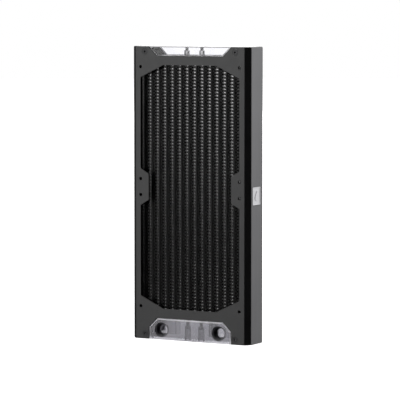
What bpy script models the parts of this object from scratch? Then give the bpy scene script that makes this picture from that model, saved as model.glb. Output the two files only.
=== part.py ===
"""Slim liquid cooling radiator for two 120 mm fans, with acrylic end blocks.

Metres, +Z up. The radiator stands on its port end: the origin is the bottom centre, +X is the right
side seen from the front, and the front faces -Y.
"""
import math

import bmesh
import bpy
from mathutils import Matrix, Vector

MM = 0.001
GAP = 0.3 * MM                      # left between pieces that touch

# Overall size
WIDTH = 124.6 * MM
DEPTH = 31.6 * MM
HEIGHT = 275 * MM
CHAMFER = 4.5 * MM                  # 45 degree corner along the long edges
SHEET = 1.2 * MM                    # steel of the covers
END_RADIUS = 1.5 * MM               # rounded ends of the covers' flanges
FRONT = DEPTH / 2                   # distance of the front and rear faces from the middle
SIDE = WIDTH / 2

# Fan holes: the standard 105 mm square pattern of two 120 mm fans, 15 mm between the patterns
FAN_PITCH = 105 * MM
FAN_SPACING = 15 * MM
FAN_HOLE_R = 1.5 * MM
MIDDLE = 143.4 * MM                 # height of the middle of both fans

# Openings of the covers
OPENING_X = 52.5 * MM               # half width of the main opening
OPENING_Z = 114.1 * MM              # half height
OPENING_END_X = 28.2 * MM           # half width of its straight ends
OPENING_SIDE_Z = 102.6 * MM         # half height of its straight sides
NOTCH_X = 43.8 * MM                 # half width between the tabs at mid height
NOTCH_Z = 12.2 * MM
NOTCH_FOOT_Z = 17.3 * MM
WINDOW_X = 43.8 * MM                # half width of both end windows at the object's end
WINDOW_NARROW_X = 35.1 * MM
RETURN_WINDOW_DEPTH = 8.9 * MM      # return window: height of its sloping sides
PORT_WINDOW_STRAIGHT = 11.6 * MM    # port window: height of its straight sides
PORT_WINDOW_Z = 20.2 * MM           # and of its top edge
CORNER_RADIUS = 1.2 * MM
BEYOND = 5 * MM                     # how far a cut runs past what it cuts

# Side rails
RAIL_WEB = 1.7 * MM
RAIL_FLANGE = 1.2 * MM
RAIL_LIP_X = 55 * MM                # inner end of the rail's lips
BLOCK_Y = FRONT - SHEET - GAP       # rails' lips and end blocks lie behind the covers
DIAGONAL = math.sqrt(2)
RAIL_OUTER_SUM = SIDE + FRONT - CHAMFER - (SHEET + GAP) * DIAGONAL      # |x| + |y| behind a flange
RAIL_INNER_SUM = RAIL_OUTER_SUM - RAIL_FLANGE * DIAGONAL

# Badge in the right rail
BADGE_WIDTH = 15.5 * MM
BADGE_HEIGHT = 16.6 * MM
BADGE_DEPTH = 0.8 * MM
BADGE_RADIUS = 1.2 * MM
BADGE_Z = 137.5 * MM

# Core
TUBES = 14
TUBE_PITCH = 7.94 * MM
TUBE_THICK = 1.8 * MM
TUBE_WALL = 0.3 * MM
CORE_HALF_DEPTH = 9.3 * MM
FIN_FOLDS = 19                      # each fold stands for four of the real strip's
FIN_SHEET = 0.3 * MM
FIN_INSET = 0.2 * MM                # of the strips' edges behind the tubes' edges
SIDE_PLATE_X = 58.6 * MM            # inner face of a core side plate
SIDE_PLATE = 1.2 * MM

# The stack of pieces along Z
PORT_BLOCK_TOP = 24 * MM
HEADER = 1.5 * MM
PORT_GASKET = (24.3 * MM, 25.6 * MM)
PORT_HEADER_Z = 25.9 * MM
RETURN_HEADER_Z = 258 * MM
RETURN_GASKET = (259.8 * MM, 260.8 * MM)
RETURN_BLOCK_Z = 261.1 * MM
TUBE_END = 0.7 * MM                 # how far a tube stands out of its header plate

# End blocks
PAD_GAP = 0.35 * MM                 # between a cover's window and the block's pad in it
HEADER_X = 58.3 * MM
HEADER_Y = 11 * MM
GASKET_X = 55 * MM
SEAL_X = 53.3 * MM                  # half width and depth of the space over the tube ends
SEAL_Y = 9.7 * MM
GALLERY_Z = 20.5 * MM               # floor of the port block's wide upper space
DIVIDER_X = 2 * MM                  # half thickness of the wall between inlet and outlet
CHAMBER = (17.5 * MM, 43 * MM)      # sides of the deep chambers
CHAMBER_Y = 9 * MM
CHAMBER_FLOOR = 5.3 * MM
RETURN_CEILING = 265.5 * MM
ISLAND_R = 3.6 * MM

# Ports: pipe thread of 13.2 mm, bored to its root
PORT_X = 30.5 * MM
PORT_Z = 9.3 * MM
PORT_R = 6.1 * MM
PORT_MOUTH_R = 7.1 * MM

# Screws, 3 mm
SCREW_R = 1.45 * MM
SCREW_HOLE_R = SCREW_R + GAP
HEAD_R = 2.9 * MM
SOCKET_R = 1.0 * MM
SOCKET_DEPTH = 1.1 * MM
COVER_SCREW_X = 47.9 * MM
COVER_SCREW_Z = (4.95 * MM, 270 * MM)
COVER_SCREW_LENGTH = 6 * MM
CLAMP_END_X = 6 * TUBE_PITCH        # between the last two tubes
PORT_CLAMP_X = (7.2 * MM, CLAMP_END_X)
RETURN_CLAMP_X = (TUBE_PITCH, CLAMP_END_X)
PORT_HEAD_Z = 13 * MM               # seat of the port block's clamp screws
PORT_HEAD_LENGTH = 2.6 * MM
COUNTERBORE_R = HEAD_R + GAP
BOSS_R = 2.6 * MM
BOSS_TOP = 271 * MM
RETURN_CLAMP_LENGTH = 9 * MM

ROUND = 12                          # sides of screws and drilled holes
WIDE_ROUND = 24                     # sides of the ports

STEEL_BLACK = ("powder_coat", (0.035, 0.035, 0.037), 0.45, 0.0)
RAIL_BLACK = ("anodised_rail", (0.05, 0.05, 0.052), 0.35, 0.9)
BADGE_SATIN = ("badge_satin", (0.62, 0.62, 0.64), 0.35, 1.0)
ACRYLIC = ("acrylic", (0.85, 0.86, 0.88), 0.05, 0.0)
SMOKED = ("port_acrylic", (0.45, 0.45, 0.48), 0.08, 0.0)
CORE_BLACK = ("core_coating", (0.03, 0.03, 0.03), 0.5, 0.2)
RUBBER = ("seal_rubber", (0.02, 0.02, 0.02), 0.8, 0.0)
BRASS = ("tinned_brass", (0.56, 0.54, 0.5), 0.4, 1.0)
SCREW_BLACK = ("black_screw", (0.03, 0.03, 0.03), 0.35, 0.8)


def clear_scene():
    for old in list(bpy.data.objects):
        bpy.data.objects.remove(old, do_unlink=True)


def new_collection(name):
    collection = bpy.data.collections.new(name)
    bpy.context.scene.collection.children.link(collection)
    return collection


def material(finish):
    name, color, roughness, metallic = finish
    made = bpy.data.materials.get(name)
    if made:
        return made
    made = bpy.data.materials.new(name)
    made.use_nodes = True
    shader = made.node_tree.nodes["Principled BSDF"]
    shader.inputs["Base Color"].default_value = (*color, 1)
    shader.inputs["Roughness"].default_value = roughness
    shader.inputs["Metallic"].default_value = metallic
    return made


def add_object(name, mesh, collection, finish=None):
    made = bpy.data.objects.new(name, mesh)
    collection.objects.link(made)
    if finish:
        mesh.materials.clear()
        mesh.materials.append(material(finish))
    return made


def baked(source):
    """Apply the modifiers and the transform of source, and return its mesh."""
    bpy.context.view_layer.update()
    seen = source.evaluated_get(bpy.context.evaluated_depsgraph_get())
    mesh = bpy.data.meshes.new_from_object(seen)
    mesh.transform(source.matrix_world)
    bpy.data.objects.remove(source, do_unlink=True)
    return mesh


def rounded(corners, radius, steps=2):
    """The closed outline through corners, each one turned into an arc of the given radius."""
    outline = []
    for index, corner in enumerate(corners):
        corner = Vector(corner)
        before = (Vector(corners[index - 1]) - corner).normalized()
        after = (Vector(corners[(index + 1) % len(corners)]) - corner).normalized()
        half = before.angle(after) / 2
        reach = radius / math.tan(half)
        centre = corner + (before + after).normalized() * radius / math.sin(half)
        start = corner + before * reach - centre
        turn = start.angle_signed(corner + after * reach - centre)
        for step in range(steps + 1):
            outline.append(tuple(centre + Matrix.Rotation(-turn * step / steps, 2) @ start))
    return outline


def box_outline(x_low, x_high, y_low, y_high):
    return [(x_low, y_low), (x_high, y_low), (x_high, y_high), (x_low, y_high)]


def mirrored(half):
    """The outline whose right half is given, from the lowest point on the axis side up."""
    return half + [(-x, y) for x, y in reversed(half)]


def slot_outline(half_thick, half_depth, steps=4):
    """A slot with round ends, long along Y."""
    outline = []
    for side in (1, -1):
        for step in range(steps + 1):
            angle = math.pi * step / steps if side > 0 else math.pi * (1 + step / steps)
            outline.append((half_thick * math.cos(angle),
                            side * (half_depth - half_thick) + half_thick * math.sin(angle)))
    return outline


def plate_mesh(name, outlines, low, high, normal="Z"):
    """A flat plate from low to high along its normal; outlines after the first are holes.

    With normal Z an outline holds X, Y, and with normal Y it holds X, Z. The filled faces are joined
    into wide ones, because thin triangles between points in line spoil a later cut.
    """
    curve = bpy.data.curves.new(name, "CURVE")
    curve.dimensions = "2D"
    curve.fill_mode = "BOTH"
    curve.extrude = (high - low) / 2
    for outline in outlines:
        spline = curve.splines.new("POLY")
        spline.points.add(len(outline) - 1)
        for point, (across, up) in zip(spline.points, outline):
            point.co = (across, up, 0, 1)
        spline.use_cyclic_u = True
    made = bpy.data.objects.new(name, curve)
    bpy.context.scene.collection.objects.link(made)
    middle = (low + high) / 2
    if normal == "Y":
        place = Matrix.Translation((0, middle, 0)) @ Matrix.Rotation(math.radians(90), 4, "X")
    else:
        place = Matrix.Translation((0, 0, middle))
    made.matrix_world = place
    mesh = baked(made)
    work = bmesh.new()
    work.from_mesh(mesh)
    bmesh.ops.remove_doubles(work, verts=work.verts, dist=1e-6)
    bmesh.ops.dissolve_limit(work, angle_limit=math.radians(1), verts=work.verts, edges=work.edges)
    bmesh.ops.recalc_face_normals(work, faces=work.faces)
    work.to_mesh(mesh)
    work.free()
    mesh.name = name
    return mesh


def plate(name, outlines, low, high, collection, finish=None, normal="Z"):
    return add_object(name, plate_mesh(name, outlines, low, high, normal), collection, finish)


def smooth(mesh, degrees=40):
    mesh.shade_smooth()
    mesh.set_sharp_from_angle(angle=math.radians(degrees))


def turned_mesh(name, profile, steps):
    """A solid turned round Z from a profile of (radius, height), listed from top to bottom."""
    mesh = bpy.data.meshes.new(name)
    points = [(radius, 0, height) for radius, height in profile]
    mesh.from_pydata(points, [(i, i + 1) for i in range(len(points) - 1)], [])
    made = bpy.data.objects.new(name, mesh)
    bpy.context.scene.collection.objects.link(made)
    screw = made.modifiers.new("turn", "SCREW")
    screw.steps = steps
    screw.render_steps = steps
    screw.use_merge_vertices = True
    screw.merge_threshold = 1e-6
    turned = baked(made)
    turned.name = name
    smooth(turned)
    return turned


def copies_mesh(name, single, places):
    """One mesh with a copy of single moved by each matrix in places."""
    work = bmesh.new()
    for place in places:
        copy = single.copy()
        copy.transform(place)
        work.from_mesh(copy)
        bpy.data.meshes.remove(copy)
    mesh = bpy.data.meshes.new(name)
    work.to_mesh(mesh)
    work.free()
    return mesh


def drill_mesh(name, spots, profile, axis="Z", steps=ROUND):
    """Closed turned shapes in one mesh, one at each spot; heights run along the axis."""
    turn = {"Z": Matrix(), "Y": Matrix.Rotation(math.radians(-90), 4, "X")}[axis]
    places = [Matrix.Translation(spot) @ turn for spot in spots]
    return copies_mesh(name, turned_mesh(name + "_bit", profile, steps), places)


def straight(radius, low, high):
    """Profile of a cylinder."""
    return [(0, high), (radius, high), (radius, low), (0, low)]


def boolean(target, tool, operation="DIFFERENCE"):
    modifier = target.modifiers.new(tool.name, "BOOLEAN")
    modifier.operation = operation
    modifier.solver = "EXACT"
    modifier.object = tool


def cutter(name, mesh):
    made = add_object(name, mesh, CUTTERS)
    made.hide_render = True
    made.display_type = "WIRE"
    return made


# Outlines of the covers' openings, seen from the front: X, Z

def main_opening():
    """Upper right quarter, mirrored twice."""
    quarter = [(NOTCH_X, NOTCH_Z), (OPENING_X, NOTCH_FOOT_Z), (OPENING_X, OPENING_SIDE_Z),
               (OPENING_END_X, OPENING_Z)]
    right = [(x, -z) for x, z in reversed(quarter)] + quarter
    return [(x, MIDDLE + z) for x, z in mirrored(right)]


def port_window(inset, low):
    """Window over the ports, its upper corners cut off; an inset gives the pad that fills it."""
    shift = inset * math.tan(math.radians(22.5))
    return mirrored([(WINDOW_X - inset, low),
                     (WINDOW_X - inset, PORT_WINDOW_STRAIGHT - shift),
                     (WINDOW_NARROW_X - shift, PORT_WINDOW_Z - inset)])


def return_window(inset, high):
    """Window at the return end, with sides at 45 degrees; an inset gives the pad that fills it."""
    low = HEIGHT - RETURN_WINDOW_DEPTH + inset
    foot = WINDOW_NARROW_X - inset * math.tan(math.radians(22.5))
    return mirrored([(foot, low), (foot + high - low, high)])


def fan_holes():
    """Centres of the fan screw holes: X, Z."""
    first = MIDDLE - FAN_SPACING / 2 - FAN_PITCH
    heights = (first, first + FAN_PITCH, first + FAN_PITCH + FAN_SPACING, first + 2 * FAN_PITCH + FAN_SPACING)
    return [(side * FAN_PITCH / 2, height) for side in (-1, 1) for height in heights]


def cover_screw_spots():
    return [(side * COVER_SCREW_X, height) for height in COVER_SCREW_Z for side in (-1, 1)]


def clamp_spots(places, height):
    return [(side * place, 0, height) for place in places for side in (-1, 1)]


def clamp_clearance(name):
    """Cutter for the port end's clamp screws where they pass the gasket and the header plate."""
    profile = straight(SCREW_HOLE_R, PORT_BLOCK_TOP - MM, 30 * MM)
    return drill_mesh(name, clamp_spots(PORT_CLAMP_X, 0), profile)


def make_cover(name, facing):
    """Folded sheet cover: the open outer surface is thickened inwards, then cut."""
    flat = SIDE - CHAMFER
    fold = FRONT - CHAMFER
    line = [(-SIDE, fold), (-flat, FRONT), (flat, FRONT), (SIDE, fold)]
    mesh = bpy.data.meshes.new(name)
    points = [(x, facing * y, z) for z in (0, HEIGHT) for x, y in line]
    count = len(line)
    faces = [(i, i + 1, i + 1 + count, i + count) for i in range(count - 1)]
    if facing > 0:
        faces = [tuple(reversed(face)) for face in faces]
    mesh.from_pydata(points, [], faces)
    cover = add_object(name, mesh, PARTS, STEEL_BLACK)
    shell = cover.modifiers.new("sheet", "SOLIDIFY")
    shell.thickness = SHEET
    shell.offset = -1
    shell.use_even_offset = True

    corners = box_outline(-SIDE, SIDE, 0, HEIGHT)
    trim = plate_mesh(name + "_trim", [rounded(corners, END_RADIUS, 4)], -FRONT - MM, FRONT + MM, "Y")
    boolean(cover, cutter(name + "_trim", trim), "INTERSECT")

    low, high = sorted((facing * (FRONT + MM), facing * (FRONT - 2 * CHAMFER)))
    windows = {"opening": main_opening(),
               "port_window": port_window(0, -BEYOND),
               "return_window": return_window(0, HEIGHT + BEYOND)}
    for part, outline in windows.items():
        shape = plate_mesh(name + "_" + part, [rounded(outline, CORNER_RADIUS)], low, high, "Y")
        boolean(cover, cutter(name + "_" + part, shape))

    face = facing * FRONT
    holes = drill_mesh(name + "_fan_holes", [(x, face, z) for x, z in fan_holes()],
                       straight(FAN_HOLE_R, -3 * MM, 3 * MM), "Y")
    boolean(cover, cutter(name + "_fan_holes", holes))

    # Countersink: a 45 degree cone one gap wider than the screw's head, open to both sides
    mouth = HEAD_R + GAP
    narrow = mouth - SHEET - GAP
    cone = [(0, MM), (mouth, MM), (mouth, 0), (narrow, narrow - mouth), (narrow, -2 * SHEET), (0, -2 * SHEET)]
    sinks = drill_mesh(name + "_sinks", [(x, 0, z) for x, z in cover_screw_spots()], cone, "Y")
    place_facing(sinks, facing)
    boolean(cover, cutter(name + "_sinks", sinks))
    return cover


def place_facing(mesh, facing):
    """Move shapes drawn along +Y to the front or rear face, pointing out of it."""
    if facing < 0:
        mesh.transform(Matrix.Rotation(math.radians(180), 4, "Z"))
    mesh.transform(Matrix.Translation((0, facing * FRONT, 0)))


def make_rail(name, side):
    """Extruded rail: its web shows between the covers' flanges, its lips lie behind the covers."""
    web_edge = SIDE - (FRONT - CHAMFER) + GAP * DIAGONAL                 # |x| - |y| along the web's edge
    shoulder_x = (web_edge + RAIL_OUTER_SUM) / 2
    inner_y = BLOCK_Y - RAIL_FLANGE
    inner_x = SIDE - RAIL_WEB
    quarter = [(SIDE, SIDE - web_edge),
               (shoulder_x, RAIL_OUTER_SUM - shoulder_x),
               (RAIL_OUTER_SUM - BLOCK_Y, BLOCK_Y),
               (RAIL_LIP_X, BLOCK_Y),
               (RAIL_LIP_X, inner_y),
               (RAIL_INNER_SUM - inner_y, inner_y),
               (inner_x, RAIL_INNER_SUM - inner_x)]
    outline = quarter + [(x, -y) for x, y in reversed(quarter)]
    outline = [(side * x, y) for x, y in outline]
    return plate(name, [outline], 0, HEIGHT, PARTS, RAIL_BLACK)


def make_block(name, low, high, finish, window):
    """Body of an end block: it fills both rails, the space between their lips, and both windows."""
    x = SIDE - RAIL_WEB - GAP
    y = BLOCK_Y - RAIL_FLANGE - GAP
    corner_sum = RAIL_INNER_SUM - GAP * DIAGONAL
    lip = RAIL_LIP_X - GAP
    right = [(corner_sum - y, -y), (x, x - corner_sum), (x, corner_sum - x), (corner_sum - y, y)]
    block = plate(name, [mirrored(right)], low, high, PARTS, finish)
    between_lips = plate_mesh(name + "_body", [box_outline(-lip, lip, -BLOCK_Y, BLOCK_Y)], low, high)
    boolean(block, cutter(name + "_body", between_lips), "UNION")
    boolean(block, cutter(name + "_pad", plate_mesh(name + "_pad", [window], -FRONT, FRONT, "Y")), "UNION")
    return block


def badge_mesh(name, grow, low, high):
    """The badge's rounded square, lying in the YZ plane, from low to high along X."""
    half_width = BADGE_WIDTH / 2 + grow
    half_height = BADGE_HEIGHT / 2 + grow
    square = rounded(box_outline(-half_width, half_width, -half_height, half_height), BADGE_RADIUS + grow)
    mesh = plate_mesh(name, [square], low, high)
    mesh.transform(Matrix(((0, 0, 1, 0), (1, 0, 0, 0), (0, 1, 0, BADGE_Z), (0, 0, 0, 1))))
    return mesh


def make_badge(rail):
    add_object("badge", badge_mesh("badge", 0, SIDE - BADGE_DEPTH, SIDE), PARTS, BADGE_SATIN)
    pocket = badge_mesh("badge_pocket", GAP, SIDE - BADGE_DEPTH - GAP, SIDE + MM)
    boolean(rail, cutter("badge_pocket", pocket))


def cover_screw_holes(height):
    """Blind holes in the front and rear of an end block, for the cover screws at one height."""
    spots = [(side * COVER_SCREW_X, facing * BLOCK_Y, height) for side in (-1, 1) for facing in (-1, 1)]
    depth = COVER_SCREW_LENGTH - SHEET
    return drill_mesh("cover_screw_holes", spots, straight(SCREW_HOLE_R, -depth, depth), "Y")


def make_port_block():
    """Acrylic block with both ports; a divider keeps the inlet and outlet sides apart."""
    block = make_block("port_block", 0, PORT_BLOCK_TOP, SMOKED, port_window(PAD_GAP, 0))

    above = PORT_BLOCK_TOP + BEYOND
    islands = drill_mesh("port_islands", clamp_spots(PORT_CLAMP_X, 0), straight(ISLAND_R, 15 * MM, 35 * MM))
    islands = cutter("port_islands", islands)
    for name, side in (("left", -1), ("right", 1)):
        inner, outer = sorted((side * DIVIDER_X, side * SEAL_X))
        outline = box_outline(inner, outer, -SEAL_Y, SEAL_Y)
        gallery = plate("gallery_" + name, [outline], GALLERY_Z, above, CUTTERS)
        boolean(gallery, islands)
        gallery = cutter("gallery_" + name, baked(gallery))
        boolean(block, gallery)
        inner, outer = sorted((side * CHAMBER[0], side * CHAMBER[1]))
        chamber = rounded(box_outline(inner, outer, -CHAMBER_Y, CHAMBER_Y), 2 * MM)
        boolean(block, cutter("chamber_" + name, plate_mesh("chamber", [chamber], CHAMBER_FLOOR, above)))

    mouth = PORT_MOUTH_R - PORT_R
    profile = [(0, MM), (PORT_MOUTH_R, MM), (PORT_MOUTH_R, 0), (PORT_R, -mouth),
               (PORT_R, CHAMBER_Y - FRONT - 2 * MM), (0, CHAMBER_Y - FRONT - 2 * MM)]
    ports = drill_mesh("ports", [(side * PORT_X, 0, PORT_Z) for side in (-1, 1)], profile, "Y", WIDE_ROUND)
    place_facing(ports, -1)
    boolean(block, cutter("ports", ports))

    stepped = [(0, 30 * MM), (SCREW_HOLE_R, 30 * MM), (SCREW_HOLE_R, PORT_HEAD_Z),
               (COUNTERBORE_R, PORT_HEAD_Z), (COUNTERBORE_R, -MM), (0, -MM)]
    clamp_holes = drill_mesh("port_clamp_holes", clamp_spots(PORT_CLAMP_X, 0), stepped)
    boolean(block, cutter("port_clamp_holes", clamp_holes))
    boolean(block, cutter("port_cover_screw_holes", cover_screw_holes(COVER_SCREW_Z[0])))
    return block


def make_return_block():
    """Clear acrylic block that turns the coolant round, with a solid roof over a shallow chamber."""
    block = make_block("return_block", RETURN_BLOCK_Z, HEIGHT, ACRYLIC, return_window(PAD_GAP, HEIGHT))
    chamber = rounded(box_outline(-SEAL_X, SEAL_X, -SEAL_Y, SEAL_Y), 2 * MM)
    chamber = plate_mesh("return_chamber", [chamber], RETURN_BLOCK_Z - BEYOND, RETURN_CEILING)
    boolean(block, cutter("return_chamber", chamber))

    mouth = HEAD_R + GAP
    boss_hole = BOSS_R + GAP
    profile = [(0, MM), (mouth, MM), (mouth, 0), (SCREW_HOLE_R, SCREW_HOLE_R - mouth),
               (SCREW_HOLE_R, BOSS_TOP + GAP - HEIGHT), (boss_hole, BOSS_TOP + GAP - HEIGHT),
               (boss_hole, RETURN_CEILING - HEIGHT - MM), (0, RETURN_CEILING - HEIGHT - MM)]
    holes = drill_mesh("return_clamp_holes", clamp_spots(RETURN_CLAMP_X, HEIGHT), profile)
    boolean(block, cutter("return_clamp_holes", holes))
    boolean(block, cutter("return_cover_screw_holes", cover_screw_holes(COVER_SCREW_Z[1])))
    return block


def tube_places():
    return [(index - (TUBES - 1) / 2) * TUBE_PITCH for index in range(TUBES)]


def make_header(name, low):
    """Header plate with a slot round each tube."""
    outline = rounded(box_outline(-HEADER_X, HEADER_X, -HEADER_Y, HEADER_Y), HEADER)
    header = plate(name, [outline], low, low + HEADER, PARTS, BRASS)
    slot = slot_outline(TUBE_THICK / 2 + GAP, CORE_HALF_DEPTH + GAP)
    slot = plate_mesh(name + "_slot", [slot], low - MM, low + HEADER + MM)
    places = [Matrix.Translation((x, 0, 0)) for x in tube_places()]
    boolean(header, cutter(name + "_slots", copies_mesh(name + "_slots", slot, places)))
    return header


def make_headers():
    port = make_header("port_header", PORT_HEADER_Z)
    boolean(port, cutter("port_header_holes", clamp_clearance("port_header_holes")))

    # The bosses are brazed into the return plate, and drilled from the top for the clamp screws
    header = make_header("return_header", RETURN_HEADER_Z)
    boss = straight(BOSS_R, RETURN_HEADER_Z + HEADER / 2, BOSS_TOP)
    boolean(header, cutter("bosses", drill_mesh("bosses", clamp_spots(RETURN_CLAMP_X, 0), boss)), "UNION")
    depth = RETURN_CLAMP_LENGTH + 2 * GAP
    bores = drill_mesh("boss_bores", clamp_spots(RETURN_CLAMP_X, HEIGHT), straight(SCREW_HOLE_R, -depth, 0))
    boolean(header, cutter("boss_bores", bores))


def make_gaskets():
    outer = rounded(box_outline(-GASKET_X, GASKET_X, -HEADER_Y, HEADER_Y), 1.5 * MM)
    window = rounded(box_outline(-SEAL_X, SEAL_X, -SEAL_Y, SEAL_Y), MM)
    plate("return_gasket", [outer, window], *RETURN_GASKET, PARTS, RUBBER)

    # Bars cross the port gasket under the divider and between the tubes where a clamp screw passes
    side_gap = TUBE_THICK / 2 + GAP
    places = [x for x in tube_places() if x > 0]
    spans = [(DIVIDER_X, places[0] + side_gap), (places[1] - side_gap, places[-2] + side_gap),
             (places[-1] - side_gap, SEAL_X)]
    spans += [(-high, -low) for low, high in spans]
    windows = [box_outline(low, high, -SEAL_Y, SEAL_Y) for low, high in spans]
    gasket = plate("port_gasket", [outer] + windows, *PORT_GASKET, PARTS, RUBBER)
    boolean(gasket, cutter("port_gasket_holes", clamp_clearance("port_gasket_holes")))


def make_tubes():
    """Flat tubes, open at both ends, from one header plate to the other."""
    low = PORT_HEADER_Z - TUBE_END
    high = RETURN_HEADER_Z + HEADER + TUBE_END
    walls = [slot_outline(TUBE_THICK / 2, CORE_HALF_DEPTH),
             slot_outline(TUBE_THICK / 2 - TUBE_WALL, CORE_HALF_DEPTH - TUBE_WALL)]
    mesh = plate_mesh("tube", walls, low, high)
    smooth(mesh)
    for number, x in enumerate(tube_places(), 1):
        tube = add_object(f"tube_{number:02d}", mesh, PARTS, CORE_BLACK)
        tube.location.x = x


def make_fin_strips():
    """Folded strips between the tubes, and between the end tubes and the side plates."""
    low = PORT_HEADER_Z + HEADER + GAP
    high = RETURN_HEADER_Z - GAP
    reach = TUBE_PITCH / 2 - TUBE_THICK / 2 - GAP
    rise = (high - low - 2 * FIN_SHEET) / (2 * FIN_FOLDS)
    overhang = FIN_SHEET / 2 * math.hypot(2 * reach, rise) / rise     # of a crest past its middle line
    crest = reach - overhang
    depth = CORE_HALF_DEPTH - FIN_INSET
    mesh = bpy.data.meshes.new("fin_strip")
    count = 2 * FIN_FOLDS + 1
    points = [((-1) ** i * crest, y, low + FIN_SHEET + i * rise)
              for y in (-depth, depth) for i in range(count)]
    faces = [(i, i + 1, i + 1 + count, i + count) for i in range(count - 1)]
    mesh.from_pydata(points, [], faces)
    for number in range(1, TUBES + 2):
        strip = add_object(f"fin_strip_{number:02d}", mesh, PARTS, CORE_BLACK)
        strip.location.x = (number - 1 - TUBES / 2) * TUBE_PITCH
        sheet = strip.modifiers.new("sheet", "SOLIDIFY")
        sheet.thickness = FIN_SHEET
        sheet.offset = 0
        sheet.use_even_offset = True


def make_side_plates():
    outer = SIDE_PLATE_X + SIDE_PLATE
    for name, side in (("left", -1), ("right", 1)):
        inner, far = sorted((side * SIDE_PLATE_X, side * outer))
        outline = box_outline(inner, far, -CORE_HALF_DEPTH, CORE_HALF_DEPTH)
        plate("core_side_plate_" + name, [outline], PORT_HEADER_Z, RETURN_HEADER_Z + HEADER, PARTS,
              CORE_BLACK)


def sunk_screw(name, length):
    """Countersunk screw along Z, its flat head at height 0, with a six-sided socket."""
    cone = HEAD_R - SCREW_R
    rim = 0.2 * MM
    profile = [(0, 0), (HEAD_R, 0), (HEAD_R, -rim), (SCREW_R, -rim - cone), (SCREW_R, -length), (0, -length)]
    return socketed(turned_mesh(name, profile, ROUND), name, 0)


def cap_screw(name, length):
    """Cylinder head screw along Z, seated at height 0 with the head below it."""
    profile = [(0, length), (SCREW_R, length), (SCREW_R, 0), (HEAD_R - 0.15 * MM, 0),
               (HEAD_R - 0.15 * MM, -PORT_HEAD_LENGTH), (0, -PORT_HEAD_LENGTH)]
    return socketed(turned_mesh(name, profile, ROUND), name, -PORT_HEAD_LENGTH)


def socketed(mesh, name, mouth):
    """Sink a six-sided socket into a screw's head, whose flat end is at the height mouth."""
    inward = SOCKET_DEPTH if mouth < 0 else -SOCKET_DEPTH
    low, high = sorted((mouth - inward, mouth + inward))
    screw = bpy.data.objects.new(name, mesh)
    bpy.context.scene.collection.objects.link(screw)
    socket = cutter(name + "_socket", turned_mesh(name + "_socket", straight(SOCKET_R, low, high), 6))
    boolean(screw, socket)
    made = baked(screw)
    bpy.data.objects.remove(socket, do_unlink=True)
    return made


def make_cover_screws():
    mesh = sunk_screw("cover_screw", COVER_SCREW_LENGTH)
    for face, facing in (("front", -1), ("rear", 1)):
        for number, (x, z) in enumerate(cover_screw_spots(), 1):
            screw = add_object(f"cover_screw_{face}_{number}", mesh, PARTS, SCREW_BLACK)
            screw.location = (x, facing * FRONT, z)
            screw.rotation_euler.x = math.radians(-90 * facing)


def make_clamp_screws():
    port_length = PORT_HEADER_Z + HEADER - PORT_HEAD_Z
    groups = (("port", cap_screw("port_clamp_screw", port_length),
               clamp_spots(PORT_CLAMP_X, PORT_HEAD_Z)),
              ("return", sunk_screw("return_clamp_screw", RETURN_CLAMP_LENGTH),
               clamp_spots(RETURN_CLAMP_X, HEIGHT)))
    for end, mesh, spots in groups:
        for number, spot in enumerate(spots, 1):
            screw = add_object(f"{end}_clamp_screw_{number}", mesh, PARTS, SCREW_BLACK)
            screw.location = spot


clear_scene()
PARTS = new_collection("liquid_cooling_radiator")
CUTTERS = new_collection("cutters")
make_cover("front_cover", -1)
make_cover("rear_cover", 1)
make_rail("side_rail_left", -1)
make_badge(make_rail("side_rail_right", 1))
make_port_block()
make_return_block()
make_headers()
make_gaskets()
make_tubes()
make_fin_strips()
make_side_plates()
make_cover_screws()
make_clamp_screws()
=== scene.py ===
"""Looks of a slim liquid cooling radiator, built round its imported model.

Shapes are drawn in millimetres in the model's frame: +Z up, the front facing -Y, the origin at the
bottom centre. Each finished piece is scaled to metres and rides on the one body, "root".
"""

import math

import bmesh
import bpy
from mathutils import Matrix, Vector


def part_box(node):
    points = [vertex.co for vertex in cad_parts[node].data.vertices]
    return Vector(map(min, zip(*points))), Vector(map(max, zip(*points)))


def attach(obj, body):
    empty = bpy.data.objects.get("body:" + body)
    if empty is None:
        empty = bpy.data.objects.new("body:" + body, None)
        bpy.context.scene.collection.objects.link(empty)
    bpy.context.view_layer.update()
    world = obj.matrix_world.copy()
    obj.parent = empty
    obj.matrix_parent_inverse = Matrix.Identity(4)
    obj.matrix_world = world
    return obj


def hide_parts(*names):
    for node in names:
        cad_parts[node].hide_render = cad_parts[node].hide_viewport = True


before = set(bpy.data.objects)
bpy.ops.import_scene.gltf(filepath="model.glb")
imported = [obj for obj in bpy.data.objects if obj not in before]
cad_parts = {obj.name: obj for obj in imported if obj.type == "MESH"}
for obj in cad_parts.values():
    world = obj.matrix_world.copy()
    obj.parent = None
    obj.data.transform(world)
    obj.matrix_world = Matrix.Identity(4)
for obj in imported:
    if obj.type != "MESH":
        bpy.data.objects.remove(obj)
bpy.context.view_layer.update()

MM = 0.001


def span(node):
    """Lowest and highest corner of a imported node, in millimetres."""
    low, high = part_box(node)
    return low / MM, high / MM


SIDE = span("front_cover")[1].x
HEIGHT = span("front_cover")[1].z
FRONT = -span("front_cover")[0].y
MIDDLE = 143.4                      # height of the middle of both fans
DIAGONAL = math.sqrt(2)
GAP = 0.3                           # between pieces that touch

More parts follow.
